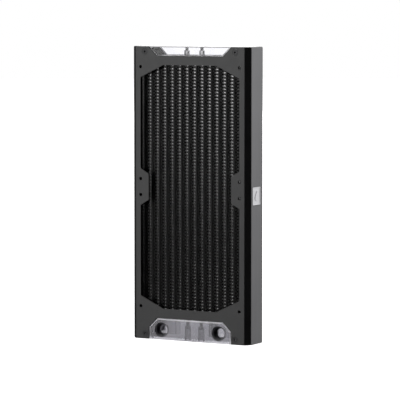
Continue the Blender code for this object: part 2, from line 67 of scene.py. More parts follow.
# Covers
SHEET = 1.2
CHAMFER = 4.5                       # 45 degree corner along the long edges
FLAT = SIDE - CHAMFER
BEND_R = 1.4                        # outer radius of the fold
SHEET_EDGE = 0.12
FLANGE_CORNER = 1.8
FAN_PITCH = 105
FAN_SPACING = 15
FAN_HOLE_R = 1.5
OPENING = [(43.8, 12.2), (52.5, 17.3), (52.5, 102.6), (28.2, 114.1)]   # upper right quarter, from MIDDLE
OPENING_CORNER = 1.2
PORT_WINDOW = [(43.8, 11.6), (35.1, 20.2)]
RETURN_WINDOW_DEPTH = 8.9
RETURN_WINDOW_FOOT = 35.1
COVER_SCREW_X = 47.9
COVER_SCREW_Z = (4.95, HEIGHT - 5)

# Rails
RAIL_WEB = 1.7
RAIL_FLANGE = 1.2
RAIL_LIP_X = 55
BADGE_RELIEF = 0.3                  # height of its rim and drop
BLOCK_Y = FRONT - SHEET - GAP
RAIL_OUTER_SUM = SIDE + FRONT - CHAMFER - (SHEET + GAP) * DIAGONAL
RAIL_INNER_SUM = RAIL_OUTER_SUM - RAIL_FLANGE * DIAGONAL

# Core
TUBES = 14
TUBE_PITCH = 7.94
TUBE_WALL = 0.3
FIN_SHEET = 0.12
FIN_CLEAR = 0.04                    # between a fold and the tube it meets
FIN_WAVE = 3.042                    # height of one whole fold
FIN_PHASE = 1.55                    # height at which a fold meets the tube on its right
FIN_SQUARE = 0.42                   # 1 folds the strip in a sine wave, 0 in square steps
FIN_STEPS = 20                      # points along one fold
PAINT_ENDS = 5                      # the tubes' paint is whole beyond this depth from the middle of the core
PAINT_THINS = 3                     # and gone within this one

# End blocks
PAD_GAP = 0.2
PORT_BEVEL = 1.25                   # of the port block, round its windows
RETURN_BEVEL = 0.9                  # of the return block, round its windows
SEAL_X = 53.3
SEAL_Y = 9.7
GALLERY_Z = 20.5
DIVIDER_X = 2
CHAMBER = (17.5, 43)
CHAMBER_Y = 9
CHAMBER_FLOOR = 5.3
RETURN_CEILING = 265.5
ISLAND_R = 3.6
PORT_X = 30.5
PORT_Z = 9.3
PORT_MINOR_R = 5.75
PORT_MAJOR_R = 6.55
PORT_MOUTH_R = 7.1
PORT_PITCH = 1.337
PORT_DEPTH = 5.8                    # of the thread; a plain hole goes on from it to the chamber
PORT_HOLE_R = 4.4

# Screws
SCREW_R = 1.45
SCREW_HOLE_R = SCREW_R + GAP
HEAD_R = 2.9
HEAD_RIM = 0.2
SCREW_GAP = 0.05                    # round a cover screw's head
COVER_SCREW_LENGTH = 4
SOCKET_R = 1.15
SOCKET_DEPTH = 1.3
SCREW_PITCH = 0.5
PORT_CLAMP_X = (7.2, 47.64)
RETURN_CLAMP_X = (7.94, 47.64)
PORT_HEAD_Z = 13
PORT_HEAD_LENGTH = 2.6
BOSS_R = 2.6
BOSS_TOP = 271

# Stage, in metres
FLOOR_HALF = 9
LIGHT_RADIUS = 5
BACKDROP_RADIUS = 8
ROOM_GLOW = 0.012


# Materials

TUBE_PAINT = (0.012, 0.012, 0.0122)
FIN_PAINT = (0.03, 0.03, 0.03)
BARE_TUBE = (0.46, 0.455, 0.46)


def new_material(name, color, roughness, metallic=0.0, **sockets):
    """Principled material; sockets gives more of its inputs by name, with _ for a space."""
    made = bpy.data.materials.new(name)
    made.use_nodes = True
    shader = made.node_tree.nodes["Principled BSDF"]
    shader.inputs["Base Color"].default_value = (*color, 1)
    shader.inputs["Roughness"].default_value = roughness
    shader.inputs["Metallic"].default_value = metallic
    for socket, value in sockets.items():
        shader.inputs[socket.replace("_", " ")].default_value = value
    return made


def noise(made, scale, stretch=(1, 1, 1), detail=3.0):
    """Noise of the given number of cells per metre, stretched along the object's axes."""
    nodes, links = made.node_tree.nodes, made.node_tree.links
    place = nodes.new("ShaderNodeTexCoord")
    mapping = nodes.new("ShaderNodeMapping")
    mapping.inputs["Scale"].default_value = stretch
    texture = nodes.new("ShaderNodeTexNoise")
    texture.inputs["Scale"].default_value = scale
    texture.inputs["Detail"].default_value = detail
    links.new(place.outputs["Object"], mapping.inputs["Vector"])
    links.new(mapping.outputs["Vector"], texture.inputs["Vector"])
    return texture.outputs["Fac"]


def add_bump(made, height, strength, distance):
    nodes, links = made.node_tree.nodes, made.node_tree.links
    bump = nodes.new("ShaderNodeBump")
    bump.inputs["Strength"].default_value = strength
    bump.inputs["Distance"].default_value = distance
    links.new(height, bump.inputs["Height"])
    links.new(bump.outputs["Normal"], nodes["Principled BSDF"].inputs["Normal"])


def spread(made, value, low, high):
    """Map the middle of a noise to the range low to high."""
    nodes, links = made.node_tree.nodes, made.node_tree.links
    ramp = nodes.new("ShaderNodeMapRange")
    ramp.inputs["From Min"].default_value = 0.3
    ramp.inputs["From Max"].default_value = 0.7
    ramp.inputs["To Min"].default_value = low
    ramp.inputs["To Max"].default_value = high
    links.new(value, ramp.inputs["Value"])
    return ramp.outputs["Result"]


def vary_color(made, value, first, second):
    nodes, links = made.node_tree.nodes, made.node_tree.links
    mix = nodes.new("ShaderNodeMix")
    mix.data_type = "RGBA"
    mix.inputs["A"].default_value = (*first, 1)
    mix.inputs["B"].default_value = (*second, 1)
    links.new(spread(made, value, 0, 1), mix.inputs["Factor"])
    links.new(mix.outputs["Result"], nodes["Principled BSDF"].inputs["Base Color"])


def vary_roughness(made, value, low, high):
    links = made.node_tree.links
    links.new(spread(made, value, low, high), made.node_tree.nodes["Principled BSDF"].inputs["Roughness"])


def powder_coat():
    """Satin black powder coat, with its fine orange peel."""
    made = new_material("powder_coat", (0.0065, 0.0065, 0.007), 0.42)
    add_bump(made, noise(made, 2600, detail=2), 0.12, 0.00004)
    vary_roughness(made, noise(made, 90), 0.40, 0.45)
    vary_color(made, noise(made, 60), (0.0055, 0.0055, 0.0058), (0.0075, 0.0075, 0.008))
    return made


def anodised():
    """Dark satin aluminium with drawing lines along its length."""
    made = new_material("anodised_rail", (0.15, 0.15, 0.155), 0.4, 1.0)
    lines = noise(made, 1500, (1, 1, 0.01), 2)
    add_bump(made, lines, 0.06, 0.00002)
    vary_roughness(made, lines, 0.37, 0.43)
    vary_color(made, noise(made, 40), (0.145, 0.145, 0.15), (0.155, 0.155, 0.16))
    return made


def brushed():
    """Light aluminium brushed upright."""
    made = new_material("brushed_badge", (0.62, 0.62, 0.64), 0.35, 1.0)
    lines = noise(made, 4000, (1, 1, 0.02), 2)
    add_bump(made, lines, 0.15, 0.00002)
    vary_roughness(made, lines, 0.3, 0.42)
    vary_color(made, lines, (0.58, 0.58, 0.6), (0.68, 0.68, 0.7))
    return made


def fin_coat():
    """Thin glossy black paint over the fins, a little uneven."""
    made = new_material("fin_coat", FIN_PAINT, 0.06, IOR=1.55)
    add_bump(made, noise(made, 900), 0.1, 0.00003)
    vary_roughness(made, noise(made, 300), 0.04, 0.08)
    vary_color(made, noise(made, 150), (0.026, 0.026, 0.026), (0.034, 0.034, 0.034))
    return made


def tube_coat():
    """Black paint, sprayed on from both faces: deep in the core it thins out to bare metal."""
    made = new_material("tube_coat", TUBE_PAINT, 0.13, IOR=1.22)
    nodes, links = made.node_tree.nodes, made.node_tree.links
    shader = nodes["Principled BSDF"]
    place = nodes.new("ShaderNodeTexCoord")
    parts = nodes.new("ShaderNodeSeparateXYZ")
    depth = nodes.new("ShaderNodeMath")
    depth.operation = "ABSOLUTE"
    bare = nodes.new("ShaderNodeMapRange")
    bare.inputs["From Min"].default_value = PAINT_ENDS * MM
    bare.inputs["From Max"].default_value = PAINT_THINS * MM
    mix = nodes.new("ShaderNodeMix")
    mix.data_type = "RGBA"
    mix.inputs["A"].default_value = (*TUBE_PAINT, 1)
    mix.inputs["B"].default_value = (*BARE_TUBE, 1)
    links.new(place.outputs["Object"], parts.inputs["Vector"])
    links.new(parts.outputs["Y"], depth.inputs[0])
    links.new(depth.outputs["Value"], bare.inputs["Value"])
    links.new(bare.outputs["Result"], mix.inputs["Factor"])
    links.new(bare.outputs["Result"], shader.inputs["Metallic"])
    links.new(mix.outputs["Result"], shader.inputs["Base Color"])
    add_bump(made, noise(made, 900), 0.05, 0.00002)
    vary_roughness(made, noise(made, 300), 0.1, 0.16)
    return made


def black_oxide():
    made = new_material("black_oxide", (0.02, 0.02, 0.021), 0.35, 0.6)
    add_bump(made, noise(made, 2500), 0.1, 0.00002)
    vary_roughness(made, noise(made, 700), 0.28, 0.42)
    vary_color(made, noise(made, 500), (0.016, 0.016, 0.016), (0.028, 0.028, 0.03))
    return made


def tinned():
    """Dull tinned brass of the header plates."""
    made = new_material("tinned_brass", (0.56, 0.55, 0.55), 0.4, 1.0)
    add_bump(made, noise(made, 600), 0.2, 0.00006)
    vary_roughness(made, noise(made, 250), 0.32, 0.5)
    vary_color(made, noise(made, 120), (0.5, 0.49, 0.495), (0.6, 0.59, 0.59))
    return made


def rubber():
    made = new_material("seal_rubber", (0.02, 0.02, 0.02), 0.7)
    add_bump(made, noise(made, 1800), 0.3, 0.00004)
    vary_roughness(made, noise(made, 500), 0.62, 0.8)
    vary_color(made, noise(made, 300), (0.016, 0.016, 0.016), (0.026, 0.026, 0.026))
    return made


def acrylic(name, polished, frosted, body_absorption, color=(1, 1, 1), clear=1.0):
    """Acrylic: polished, and finely milled where the frost attribute is 1; clear is its transmission, and the
    volume absorption is its tint, which on the port block is painted shade.
    """
    made = new_material(name, color, polished, Transmission_Weight=clear, IOR=1.49)
    nodes, links = made.node_tree.nodes, made.node_tree.links
    shader = nodes["Principled BSDF"]
    frost = nodes.new("ShaderNodeAttribute")
    frost.attribute_name = "frost"
    mills = noise(made, 1500, (1, 1, 0.3), 3)
    swirl = nodes.new("ShaderNodeMapRange")
    swirl.inputs["To Min"].default_value = frosted - 0.03
    swirl.inputs["To Max"].default_value = frosted + 0.03
    links.new(mills, swirl.inputs["Value"])
    choice = nodes.new("ShaderNodeMix")
    choice.inputs["A"].default_value = polished
    links.new(frost.outputs["Fac"], choice.inputs["Factor"])
    links.new(swirl.outputs["Result"], choice.inputs["B"])
    links.new(choice.outputs["Result"], shader.inputs["Roughness"])
    body = nodes.new("ShaderNodeVolumeAbsorption")
    body.inputs["Color"].default_value = (*body_absorption[0], 1)
    body.inputs["Density"].default_value = body_absorption[1]
    links.new(body.outputs["Volume"], nodes["Material Output"].inputs["Volume"])
    return made


def milled_edge(name, light, clear):
    """Bevels of the acrylic, left dull by the mill: light is how pale they are, clear their transmission.
    Milled acrylic is pale, but this paleness, set high on the port block and lower on the return block, is
    partly painted light and shade.
    """
    made = new_material(name, (light, light, light), 0.3, Transmission_Weight=clear, IOR=1.49)
    add_bump(made, noise(made, 2500, (1, 1, 0.3)), 0.15, 0.00003)
    vary_roughness(made, noise(made, 900), 0.26, 0.36)
    vary_color(made, noise(made, 500), [light * tint for tint in (0.95, 0.94, 0.98)],
               [light * tint for tint in (1.03, 1.02, 1.06)])
    return made


def thread_painted_shade():
    """Thread faces in the port acrylic, painted dark and opaque as shade: the thread is clear acrylic that
    looks dark only by the light it turns away.
    """
    made = new_material("thread_painted_shade", (0.1, 0.1, 0.11), 0.22)
    add_bump(made, noise(made, 1500, (1, 1, 0.3)), 0.1, 0.00003)
    vary_roughness(made, noise(made, 600), 0.16, 0.26)
    vary_color(made, noise(made, 400), (0.085, 0.085, 0.093), (0.12, 0.12, 0.13))
    return made


# Meshes

def ring(radius, x=0.0, y=0.0, points=32):
    return [(x + radius * math.cos(2 * math.pi * i / points),
             y + radius * math.sin(2 * math.pi * i / points)) for i in range(points)]


def box_outline(x_low, x_high, y_low, y_high):
    return [(x_low, y_low), (x_high, y_low), (x_high, y_high), (x_low, y_high)]


def mirrored(half):
    """The outline whose right half is given, from its lowest point up."""
    return half + [(-x, y) for x, y in reversed(half)]


def rounded(corners, radius):
    """The outline through corners, each turned into an arc; radius is one number, or one for each."""
    radii = radius if isinstance(radius, list) else [radius] * len(corners)
    outline = []
    for index, corner in enumerate(corners):
        corner = Vector(corner)
        before = (Vector(corners[index - 1]) - corner).normalized()
        after = (Vector(corners[(index + 1) % len(corners)]) - corner).normalized()
        half = before.angle(after) / 2
        reach = radii[index] / math.tan(half)
        centre = corner + (before + after).normalized() * radii[index] / math.sin(half)
        start = corner + before * reach - centre
        turn = start.angle_signed(corner + after * reach - centre)
        steps = max(3, round(abs(turn) / math.radians(12)))
        for step in range(steps + 1):
            outline.append(tuple(centre + Matrix.Rotation(-turn * step / steps, 2) @ start))
    return outline


def baked(source):
    """The mesh of source with its modifiers and transform applied; source is removed."""
    bpy.context.view_layer.update()
    seen = source.evaluated_get(bpy.context.evaluated_depsgraph_get())
    mesh = bpy.data.meshes.new_from_object(seen)
    mesh.transform(source.matrix_world)
    bpy.data.objects.remove(source, do_unlink=True)
    return mesh


def flat_mesh(outlines, thick, edge=0.0, rounds=2, low=None):
    """Flat shape in XY, its middle at height 0 or its underside at low; outlines after the first are holes.

    edge rounds its rims, or cuts them at 45 degrees where rounds is 0.
    """
    curve = bpy.data.curves.new("flat", "CURVE")
    curve.dimensions = "2D"
    curve.fill_mode = "BOTH"
    curve.extrude = thick / 2 - edge
    curve.bevel_depth = edge
    curve.bevel_resolution = rounds
    curve.offset = -edge
    for outline in outlines:
        spline = curve.splines.new("POLY")
        spline.points.add(len(outline) - 1)
        for point, (across, up) in zip(spline.points, outline):
            point.co = (across, up, 0, 1)
        spline.use_cyclic_u = True
    made = bpy.data.objects.new("flat", curve)
    bpy.context.scene.collection.objects.link(made)
    mesh = baked(made)
    work = bmesh.new()
    work.from_mesh(mesh)
    bmesh.ops.remove_doubles(work, verts=work.verts, dist=0.001)
    bmesh.ops.dissolve_limit(work, angle_limit=math.radians(0.5), verts=work.verts, edges=work.edges)
    bmesh.ops.recalc_face_normals(work, faces=work.faces)
    work.to_mesh(mesh)
    work.free()
    if low is not None:
        mesh.transform(Matrix.Translation((0, 0, low + thick / 2)))
    return mesh


def upright(mesh, y=0.0):
    """Stand a flat mesh up, so that its Y runs along Z, and centre it on y."""
    mesh.transform(Matrix.Translation((0, y, 0)) @ Matrix.Rotation(math.radians(90), 4, "X"))
    return mesh


def turned_mesh(profile, steps=32):
    """A solid turned round Z from (radius, height) points, listed from top to bottom."""
    mesh = bpy.data.meshes.new("turned")
    points = [(radius, 0, height) for radius, height in profile]
    mesh.from_pydata(points, [(i, i + 1) for i in range(len(points) - 1)], [])
    made = bpy.data.objects.new("turned", mesh)
    bpy.context.scene.collection.objects.link(made)
    screw = made.modifiers.new("turn", "SCREW")
    screw.steps = steps
    screw.render_steps = steps
    screw.use_merge_vertices = True
    screw.merge_threshold = 1e-4
    return baked(made)


def threaded_mesh(minor, major, pitch, low, high, mouth=None, steps=48):
    """A rod with a helical thread round Z; mouth is (radius, depth) of a 45 degree cone at its top."""
    rows = max(2, round((high - low) / pitch * 8))
    work = bmesh.new()
    rings = []
    for row in range(rows + 1):
        height = low + (high - low) * row / rows
        cone = mouth[0] - (high - height) if mouth else 0
        level = []
        for step in range(steps):
            turn = step / steps
            tooth = abs(2 * ((height / pitch - turn) % 1) - 1)
            radius = max(minor + (major - minor) * min(1, max(0, 1.35 * tooth - 0.15)), cone)
            angle = 2 * math.pi * turn
            level.append(work.verts.new((radius * math.cos(angle), radius * math.sin(angle), height)))
        rings.append(level)
    for under, over in zip(rings, rings[1:]):
        for step in range(steps):
            after = (step + 1) % steps
            work.faces.new((under[step], under[after], over[after], over[step]))
    work.faces.new(list(reversed(rings[0])))
    work.faces.new(rings[-1])
    mesh = bpy.data.meshes.new("thread")
    work.to_mesh(mesh)
    work.free()
    return mesh


def joined(meshes):
    """One mesh made of all the given ones."""
    work = bmesh.new()
    for mesh in meshes:
        work.from_mesh(mesh)
    made = bpy.data.meshes.new("joined")
    work.to_mesh(made)
    work.free()
    return made


def copies(mesh, places):
    """A moved copy of mesh for each place, as one mesh; a place is a point or a matrix."""
    made = []
    for place in places:
        copy = mesh.copy()
        copy.transform(place if isinstance(place, Matrix) else Matrix.Translation(place))
        made.append(copy)
    return joined(made)


def cut(mesh, tool, operation="DIFFERENCE"):
    """The mesh with the tool cut out of it, or joined to it."""
    target = bpy.data.objects.new("target", mesh)
    other = bpy.data.objects.new("tool", tool)
    for made in (target, other):
        bpy.context.scene.collection.objects.link(made)
    modifier = target.modifiers.new("cut", "BOOLEAN")
    modifier.operation = operation
    modifier.solver = "EXACT"
    modifier.object = other
    result = baked(target)
    bpy.data.objects.remove(other, do_unlink=True)
    return result


def marked(mesh, index=1):
    """Give every face of a cutting tool the material index that its cut faces take."""
    for face in mesh.polygons:
        face.material_index = index
    return mesh


def add_piece(name, mesh, made, nodes, sharp=30, weighted=True):
    """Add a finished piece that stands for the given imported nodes; made is its material, or one per index."""
    mesh.transform(Matrix.Scale(MM, 4))
    mesh.shade_smooth()
    mesh.set_sharp_from_angle(angle=math.radians(sharp))
    indices = [face.material_index for face in mesh.polygons]
    mesh.materials.clear()
    for material in made if isinstance(made, list) else [made]:
        mesh.materials.append(material)
    mesh.polygons.foreach_set("material_index", indices)
    piece = bpy.data.objects.new(name, mesh)
    bpy.context.scene.collection.objects.link(piece)
    if weighted:
        normals = piece.modifiers.new("normals", "WEIGHTED_NORMAL")
        normals.keep_sharp = True
    declare(piece, nodes)
    return piece


def declare(piece, nodes):
    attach(piece, "root")
    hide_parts(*nodes)


# Covers

def fan_holes():
    first = MIDDLE - FAN_SPACING / 2 - FAN_PITCH
    heights = (first, first + FAN_PITCH, first + FAN_PITCH + FAN_SPACING, first + 2 * FAN_PITCH + FAN_SPACING)
    return [(side * FAN_PITCH / 2, height) for side in (-1, 1) for height in heights]


def cover_screw_spots():
    return [(side * COVER_SCREW_X, height) for height in COVER_SCREW_Z for side in (-1, 1)]


def cover_outlines():
    """Edge, opening and holes of a cover's sheet before it is folded: distance round it, and height."""
    edge = FLAT + CHAMFER * DIAGONAL - 2 * BEND_R * math.tan(math.pi / 8) + BEND_R * math.pi / 4
    foot = HEIGHT - RETURN_WINDOW_DEPTH
    half = [(PORT_WINDOW[1][0], PORT_WINDOW[1][1]), (PORT_WINDOW[0][0], PORT_WINDOW[0][1]),
            (PORT_WINDOW[0][0], 0), (edge, 0), (edge, HEIGHT),
            (RETURN_WINDOW_FOOT + RETURN_WINDOW_DEPTH, HEIGHT), (RETURN_WINDOW_FOOT, foot)]
    radii = [OPENING_CORNER, OPENING_CORNER, 0.25, FLANGE_CORNER, FLANGE_CORNER, 0.25, OPENING_CORNER]
    outer = rounded(mirrored(half), radii + radii[::-1])
    right = [(x, MIDDLE - z) for x, z in reversed(OPENING)] + [(x, MIDDLE + z) for x, z in OPENING]
    opening = rounded(mirrored(right), OPENING_CORNER)
    holes = [ring(FAN_HOLE_R, x, z, 24) for x, z in fan_holes()]
    holes += [ring(HEAD_R + SCREW_GAP, x, z, 40) for x, z in cover_screw_spots()]
    return [outer, opening] + holes


def fold(mesh):
    """Bend both long edges of an upright sheet back by 45 degrees, and put its face on the front."""
    start = FLAT - BEND_R * math.tan(math.pi / 8)
    arc = BEND_R * math.pi / 4
    work = bmesh.new()
    work.from_mesh(mesh)
    for side in (-1, 1):
        for step in range(5):
            plane = side * (start + arc * step / 4)
            geometry = work.verts[:] + work.edges[:] + work.faces[:]
            bmesh.ops.bisect_plane(work, geom=geometry, plane_co=(plane, 0, 0), plane_no=(1, 0, 0), dist=1e-4)
    for vert in work.verts:
        across, height, depth = abs(vert.co.x), vert.co.y, SHEET / 2 - vert.co.z
        angle = min(max(across - start, 0) / BEND_R, math.pi / 4)
        beyond = max(across - start - arc, 0) / DIAGONAL
        x = min(across, start) + (BEND_R - depth) * math.sin(angle) + beyond
        y = BEND_R - (BEND_R - depth) * math.cos(angle) + beyond - FRONT
        vert.co = (math.copysign(x, vert.co.x), y, height)
    work.to_mesh(mesh)
    work.free()
    return mesh


def make_covers():
    mesh = fold(flat_mesh(cover_outlines(), SHEET, SHEET_EDGE))
    rear = mesh.copy()
    rear.transform(Matrix.Rotation(math.pi, 4, "Z"))
    coat = powder_coat()
    add_piece("front_cover_coated", mesh, coat, ["front_cover"], 24)
    add_piece("rear_cover_coated", rear, coat, ["rear_cover"], 24)


# Rails and badge

def rail_outline():
    """Section of the right rail: its web shows between the covers, its lips lie behind them."""
    web_edge = SIDE - (FRONT - CHAMFER) + GAP * DIAGONAL
    shoulder_x = (web_edge + RAIL_OUTER_SUM) / 2
    inner_y = BLOCK_Y - RAIL_FLANGE
    inner_x = SIDE - RAIL_WEB
    quarter = [(SIDE, SIDE - web_edge),
               (shoulder_x, RAIL_OUTER_SUM - shoulder_x),
               (RAIL_OUTER_SUM - BLOCK_Y, BLOCK_Y),
               (RAIL_LIP_X, BLOCK_Y),
               (RAIL_LIP_X, inner_y),
               (RAIL_INNER_SUM - inner_y, inner_y),
               (inner_x, RAIL_INNER_SUM - inner_x)]
    return rounded(quarter + [(x, -y) for x, y in reversed(quarter)], 0.15)


def badge_place(x):
    """Matrix that lays a flat shape in the right side, its top facing +X at x."""
    low, high = span("badge")
    middle = (low + high) / 2
    return Matrix(((0, 0, 1, x), (1, 0, 0, middle.y), (0, 1, 0, middle.z), (0, 0, 0, 1)))


def badge_square(grow):
    low, high = span("badge")
    half_width, half_height = (high.y - low.y) / 2 + grow, (high.z - low.z) / 2 + grow
    return rounded(box_outline(-half_width, half_width, -half_height, half_height), 1.2 + grow)


def droplet(size):
    """Outline of a drop with its point up."""
    points = []
    for step in range(40):
        angle = 2 * math.pi * step / 40
        points.append((size * math.sin(angle) * math.sin(angle / 2) ** 1.5, size * math.cos(angle)))
    return points


def make_rails():
    rail = flat_mesh([rail_outline()], HEIGHT, 0.15, 1, low=0)
    left = rail.copy()
    left.transform(Matrix.Rotation(math.pi, 4, "Z"))
    low, high = span("badge")
    pocket = flat_mesh([badge_square(0.15)], 4, low=0)
    pocket.transform(badge_place(low.x - 0.15))
    metal = anodised()
    add_piece("side_rail_right_satin", cut(rail, pocket), metal, ["side_rail_right"])
    add_piece("side_rail_left_satin", left, metal, ["side_rail_left"])

    thick = high.x - low.x
    relief = BADGE_RELIEF + 0.1
    plate = flat_mesh([badge_square(0)], thick - BADGE_RELIEF, 0.1, 2, low=-thick)
    rim = flat_mesh([badge_square(0), badge_square(-0.9)], relief, 0.2, 2, low=-relief)
    drop = flat_mesh([droplet(4.6)], relief, 0.2, 0, low=-relief)
    badge = joined([plate, rim, drop])
    badge.transform(badge_place(high.x))
    add_piece("badge_brushed", badge, brushed(), ["badge"])


# Core

def tube_places():
    return [(index - (TUBES - 1) / 2) * TUBE_PITCH for index in range(TUBES)]


def slot_outline(half_thick, half_depth, steps=10):
    """A slot with round ends, long along Y."""
    outline = []
    for side in (1, -1):
        for step in range(steps + 1):
            angle = math.pi * (step / steps + (side < 0))
            outline.append((half_thick * math.cos(angle),
                            side * (half_depth - half_thick) + half_thick * math.sin(angle)))
    return outline


def make_tubes(coat):
    low, high = span("tube_01")
    half_thick, half_depth = (high.x - low.x) / 2, (high.y - low.y) / 2
    walls = [slot_outline(half_thick, half_depth),
             slot_outline(half_thick - TUBE_WALL, half_depth - TUBE_WALL)]
    shape = flat_mesh(walls, high.z - low.z, low=low.z)
    for number, x in enumerate(tube_places(), 1):
        mesh = shape.copy()
        mesh.transform(Matrix.Translation((x, 0, 0)))
        add_piece(f"tube_{number:02d}_coated", mesh, coat, [f"tube_{number:02d}"], 40)


def fin_mesh(half_width, half_depth, low, high):
    """Folded strip: a closed thin sheet that swings from side to side on its way up."""
    reach = half_width - FIN_SHEET / 2
    count = int((high - low) / FIN_WAVE * FIN_STEPS)
    line = []
    for index in range(count + 1):
        height = low + FIN_SHEET / 2 + index * FIN_WAVE / FIN_STEPS
        swing = math.cos(2 * math.pi * (height - FIN_PHASE) / FIN_WAVE)
        line.append(Vector((reach * math.copysign(abs(swing) ** FIN_SQUARE, swing), height)))
    work = bmesh.new()
    rows = []
    for index, point in enumerate(line):
        along = (line[min(index + 1, count)] - line[max(index - 1, 0)]).normalized()
        across = Vector((along.y, -along.x)) * FIN_SHEET / 2
        rows.append([work.verts.new((spot.x, y, spot.y))
                     for y in (-half_depth, half_depth) for spot in (point - across, point + across)])
    for (a, b, c, d), (e, f, g, h) in zip(rows, rows[1:]):
        for corners in ((a, e, f, b), (c, d, h, g), (a, c, g, e), (b, f, h, d)):
            work.faces.new(corners)
    for row in (rows[0], rows[-1]):
        work.faces.new((row[0], row[1], row[3], row[2]))
    bmesh.ops.recalc_face_normals(work, faces=work.faces)
    mesh = bpy.data.meshes.new("fin_strip")
    work.to_mesh(mesh)
    work.free()
    return mesh


def make_fins(coat):
    low, high = span("fin_strip_01")
    tube_low, tube_high = span("tube_01")
    half_width = (TUBE_PITCH - (tube_high.x - tube_low.x)) / 2 - FIN_CLEAR
    shape = fin_mesh(half_width, (high.y - low.y) / 2, low.z, high.z)
    for number in range(1, TUBES + 2):
        mesh = shape.copy()
        mesh.transform(Matrix.Translation(((number - 1 - TUBES / 2) * TUBE_PITCH, 0, 0)))
        add_piece(f"fin_strip_{number:02d}_folded", mesh, coat, [f"fin_strip_{number:02d}"],
                  50, False)


# End blocks

def block_body(low, high, pad, bevel, foot=None):
    """Block that fills both rails, the space between their lips, and both windows down to foot."""
    x = SIDE - RAIL_WEB - GAP
    y = BLOCK_Y - RAIL_FLANGE - GAP
    corner_sum = RAIL_INNER_SUM - GAP * DIAGONAL
    lip = RAIL_LIP_X - GAP
    ends = mirrored([(corner_sum - y, -y), (x, x - corner_sum), (x, corner_sum - x), (corner_sum - y, y)])
    body = flat_mesh([ends], high - low, low=low)
    middle = flat_mesh([box_outline(-lip, lip, -BLOCK_Y, BLOCK_Y)], high - low, low=low)
    body = cut(body, middle, "UNION")
    windows = upright(flat_mesh([pad], 2 * FRONT, bevel, 0))
    if foot is not None:
        windows = cut(windows, flat_mesh([box_outline(-SIDE, SIDE, -SIDE, SIDE)], SIDE, low=foot - SIDE))
    block = cut(body, windows, "UNION")
    for face in block.polygons:
        if 0.6 < abs(face.normal.y) < 0.8 and abs(face.center.y) > FRONT - bevel:
            face.material_index = 4
    return block


def frost_from_index(mesh):
    """Turn material index 1 into the frost attribute; 2 is the second material, and 4 the third."""
    frost = mesh.attributes.new("frost", "FLOAT", "FACE")
    for face in mesh.polygons:
        frost.data[face.index].value = face.material_index == 1
        face.material_index = face.material_index // 2
    return mesh


def make_port_block():
    inset = PAD_GAP * math.tan(math.pi / 8)
    pad = mirrored([(PORT_WINDOW[0][0] - PAD_GAP, -2),
                    (PORT_WINDOW[0][0] - PAD_GAP, PORT_WINDOW[0][1] - inset),
                    (PORT_WINDOW[1][0] - inset, PORT_WINDOW[1][1] - PAD_GAP)])
    top = span("port_block")[1].z
    block = block_body(0, top, pad, PORT_BEVEL, 0)

    islands = copies(turned_mesh([(0, 40), (ISLAND_R, 40), (ISLAND_R, 10), (0, 10)]),
                     [(side * x, 0, 0) for side in (-1, 1) for x in PORT_CLAMP_X])
    for side in (-1, 1):
        inner, outer = sorted((side * DIVIDER_X, side * SEAL_X))
        gallery = flat_mesh([rounded(box_outline(inner, outer, -SEAL_Y, SEAL_Y), 1.5)], 8, low=GALLERY_Z)
        block = cut(block, marked(cut(gallery, islands)))
        inner, outer = sorted((side * CHAMBER[0], side * CHAMBER[1]))
        chamber = flat_mesh([rounded(box_outline(inner, outer, -CHAMBER_Y, CHAMBER_Y), 2)], 25,
                            low=CHAMBER_FLOOR)
        block = cut(block, marked(chamber))

    port = threaded_mesh(PORT_MINOR_R, PORT_MAJOR_R, PORT_PITCH, -PORT_DEPTH, 0.001, (PORT_MOUTH_R, 1))
    hole = turned_mesh([(0, 1 - PORT_DEPTH), (PORT_HOLE_R, 1 - PORT_DEPTH),
                        (PORT_HOLE_R, CHAMBER_Y - FRONT - 2), (0, CHAMBER_Y - FRONT - 2)])
    facing = Matrix.Rotation(math.radians(90), 4, "X")
    places = [Matrix.Translation((side * PORT_X, -FRONT, PORT_Z)) @ facing for side in (-1, 1)]
    # Index 2 paints the port's thread and hole dark as shade, though they are clear acrylic.
    block = cut(block, marked(copies(hole, places), 2))
    block = cut(block, marked(copies(port, places), 2))

    counterbore = HEAD_R + GAP
    drill = turned_mesh([(0, 30), (SCREW_HOLE_R, 30), (SCREW_HOLE_R, PORT_HEAD_Z), (counterbore, PORT_HEAD_Z),
                         (counterbore, -1), (0, -1)])
    holes = copies(drill, [(side * x, 0, 0) for side in (-1, 1) for x in PORT_CLAMP_X])
    block = cut(block, marked(holes))
    # Painted shade: the port block's grey colour, lower transmission and dense volume absorption darken clear
    # acrylic to the grey of the shaded floor seen through it.
    shaded_port_acrylic = acrylic("port_acrylic", 0.07, 0.22, ((0.02, 0.02, 0.08), 34.0), (0.55, 0.54, 0.58), 0.75)
    # The port bevel's near-white paleness, 0.94, is partly painted light.
    finishes = [shaded_port_acrylic, thread_painted_shade(), milled_edge("port_bevel", 0.94, 0.2)]
    add_piece("port_block_milled", frost_from_index(block), finishes, ["port_block"],
              25, False)


